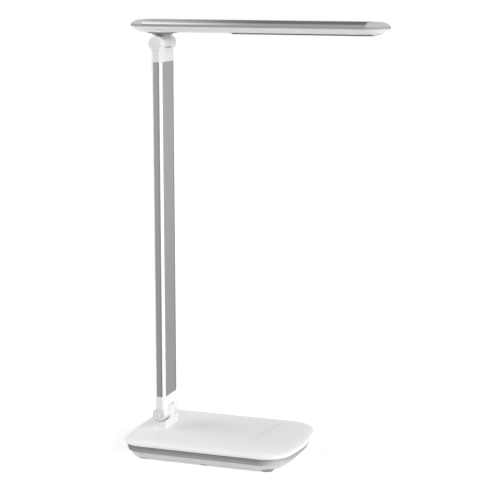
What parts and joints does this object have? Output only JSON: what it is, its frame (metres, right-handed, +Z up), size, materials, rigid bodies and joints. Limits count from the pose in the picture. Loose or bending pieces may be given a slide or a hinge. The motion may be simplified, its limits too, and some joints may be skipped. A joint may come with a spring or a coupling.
{
  "type": "folding led desk lamp",
  "caption": "Desk lamp with a weighted rounded base, a flat folding arm and a long slim head that tilts and swivels on a neck.",
  "frame": {"origin": "middle of the base on the table, at the undersides of the feet", "axes": "+Z up, +X the way the head points, Y across the base"},
  "size_m": [0.244, 0.1126, 0.4042],
  "materials": {
    "cover_white": "smooth satin white",
    "shell_white": "smooth satin white",
    "hinge_white": "smooth white",
    "arm_white": "smooth glossy white",
    "head_white": "smooth satin white",
    "band_silver": "satin silver",
    "arm_silver": "fine brushed silver",
    "head_aluminium": "satin anodised",
    "cap_silver": "silver lacquer",
    "bezel_grey": "grey lacquer",
    "diffuser_opal": "opal",
    "reflector_white": "bright white",
    "foot_rubber": "matt",
    "screw_steel": "zinc plated",
    "weight_steel": "plain sheet",
    "washer_bronze": "plain",
    "washer_nylon": "plain",
    "board_green": "solder mask",
    "board_white": "white solder mask",
    "contact_gold": "plated",
    "inlet_black": "moulded",
    "lead_black": "smooth jacket",
    "led_yellow": "phosphor coated"
  },
  "bodies": {
    "base": {"base_top_cover": "cover_white", "base_trim_band": "band_silver", "base_bottom_shell": "shell_white", "rubber_feet": "foot_rubber", "base_screws": "screw_steel", "base_weight": "weight_steel", "weight_screws": "screw_steel", "control_board": "board_green", "board_screws": "screw_steel", "touch_electrodes": "contact_gold", "power_inlet": "inlet_black", "hinge_bracket": "hinge_white", "backing_plate": "weight_steel", "bracket_screws": "screw_steel"},
    "arm": {"arm_lower_end": "hinge_white", "arm_tube": "arm_white", "arm_broad_trims": "arm_silver", "arm_edge_trims": "arm_silver", "arm_upper_end": "hinge_white", "arm_end_screws": "screw_steel", "arm_lead": "lead_black", "lower_hinge_bolt": "screw_steel", "lower_friction_washers": "washer_bronze", "lower_disc_spring": "screw_steel", "lower_hinge_nut": "screw_steel", "lower_pivot_caps": "hinge_white", "upper_hinge_bolt": "screw_steel", "upper_friction_washers": "washer_bronze", "upper_disc_spring": "screw_steel", "upper_hinge_nut": "screw_steel", "upper_pivot_caps": "hinge_white"},
    "neck": {"head_neck": "hinge_white", "swivel_tube": "screw_steel", "swivel_slip_washer": "washer_nylon", "swivel_wave_washer": "screw_steel", "swivel_nut": "screw_steel"},
    "head": {"head_bottom_housing": "head_white", "head_top_profile": "head_aluminium", "head_rear_cap": "cap_silver", "head_front_cap": "cap_silver", "head_screws": "screw_steel", "panel_bezel": "bezel_grey", "diffuser": "diffuser_opal", "reflector": "reflector_white", "led_board": "board_white", "led_chips": "led_yellow", "led_board_screws": "screw_steel"}
  },
  "joints": [
    {"name": "arm_fold", "type": "hinge", "parent": "base", "child": "arm", "pos_m": [-0.0575, 0, 0.033], "axis": [0, 1, 0], "range_deg": [-40, 90]},
    {"name": "head_tilt", "type": "hinge", "parent": "arm", "child": "neck", "pos_m": [-0.0575, 0, 0.383], "axis": [0, 1, 0], "range_deg": [-90, 90]},
    {"name": "head_swivel", "type": "hinge", "parent": "neck", "child": "head", "pos_m": [-0.0575, 0, 0.393], "axis": [0, 0, 1], "range_deg": [-90, 90]}
  ]
}
